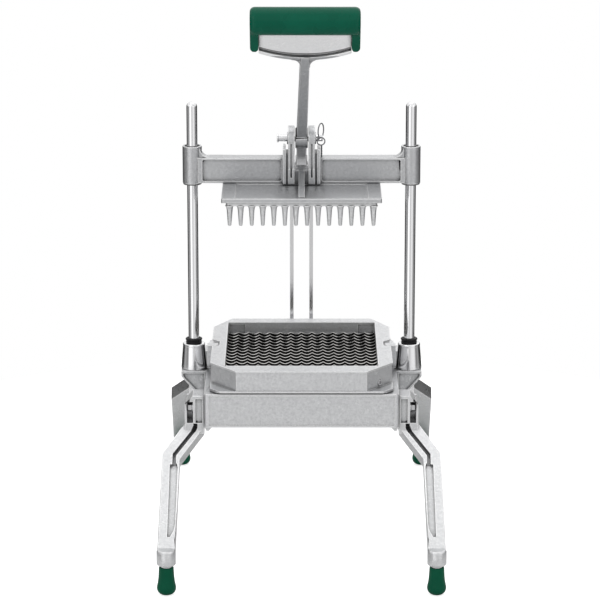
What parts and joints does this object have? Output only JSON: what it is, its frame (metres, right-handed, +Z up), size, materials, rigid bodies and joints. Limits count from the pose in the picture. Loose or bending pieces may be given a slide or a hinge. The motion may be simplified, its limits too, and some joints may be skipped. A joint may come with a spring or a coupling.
{
  "type": "vegetable dicer",
  "caption": "Hand-operated vegetable dicer: a lever drives a finger plate down two posts and pushes food through a square blade grid, standing on splayed legs.",
  "frame": {"origin": "on the ground under the centre of the four feet", "axes": "+Z up along the posts, front (the lever's side) towards -Y, +X to the right seen from the front"},
  "size_m": [0.2458, 0.368, 0.4873],
  "materials": {
    "cast_aluminium": "tumbled cast, satin",
    "stainless": "polished",
    "fastener_steel": "zinc plated, dark",
    "blade_steel": "hardened, dark, honed edges",
    "black_rubber": "matte",
    "dark_bearing": "matte",
    "green_rubber": "semi-matte moulded",
    "green_plastic": "glossy dipped"
  },
  "bodies": {
    "base": {"base_casting": "cast_aluminium", "rear_bracket": "cast_aluminium", "bracket_screws": "fastener_steel", "post_left": "stainless", "post_right": "stainless", "post_nuts": "fastener_steel", "post_socket_left": "stainless", "post_socket_right": "stainless", "bumper_left": "black_rubber", "bumper_right": "black_rubber", "leg_front_left": "cast_aluminium", "leg_front_right": "cast_aluminium", "leg_rear_left": "cast_aluminium", "leg_rear_right": "cast_aluminium", "leg_bolts": "fastener_steel", "leg_washers": "fastener_steel", "leg_nuts": "fastener_steel", "foot_studs": "stainless", "foot_front_left": "green_rubber", "foot_front_right": "green_rubber", "foot_rear_left": "green_rubber", "foot_rear_right": "green_rubber", "link_pin": "stainless", "link_retainers": "stainless", "blade_frame": "cast_aluminium", "blades_lengthwise": "blade_steel", "blades_crosswise": "blade_steel", "blade_rods": "blade_steel", "frame_screw": "fastener_steel", "frame_dowels": "fastener_steel"},
    "crosshead": {"crosshead": "cast_aluminium", "bush_left": "dark_bearing", "bush_right": "dark_bearing", "push_plate": "cast_aluminium", "finger_block": "cast_aluminium", "fingers": "cast_aluminium", "plate_screws": "fastener_steel", "pivot_pin": "stainless", "pin_washers": "fastener_steel", "ring_clip": "stainless"},
    "lever": {"lever": "cast_aluminium", "tail_pin": "stainless", "handle_grip": "green_plastic"},
    "links": {"link_left": "stainless", "link_right": "stainless", "link_rivets": "fastener_steel", "link_spacer": "fastener_steel"}
  },
  "joints": [
    {"name": "crosshead_slide", "type": "slide", "parent": "base", "child": "crosshead", "axis": [0, 0, 1], "range_m": [-0.14, 0]},
    {"name": "lever_hinge", "type": "hinge", "parent": "crosshead", "child": "lever", "pos_m": [0, 0, 0.358], "axis": [1, 0, 0], "range_deg": [0, 74.71]},
    {"name": "link_hinge", "type": "hinge", "parent": "base", "child": "links", "pos_m": [0, 0.097, 0.135], "axis": [1, 0, 0], "range_deg": [0, 11.36]}
  ],
  "couplings": [
    {"joint": "lever_hinge", "follows": "crosshead_slide", "rad_per_m": -9.3077},
    {"joint": "link_hinge", "follows": "crosshead_slide", "rad_per_m": -1.4099}
  ]
}
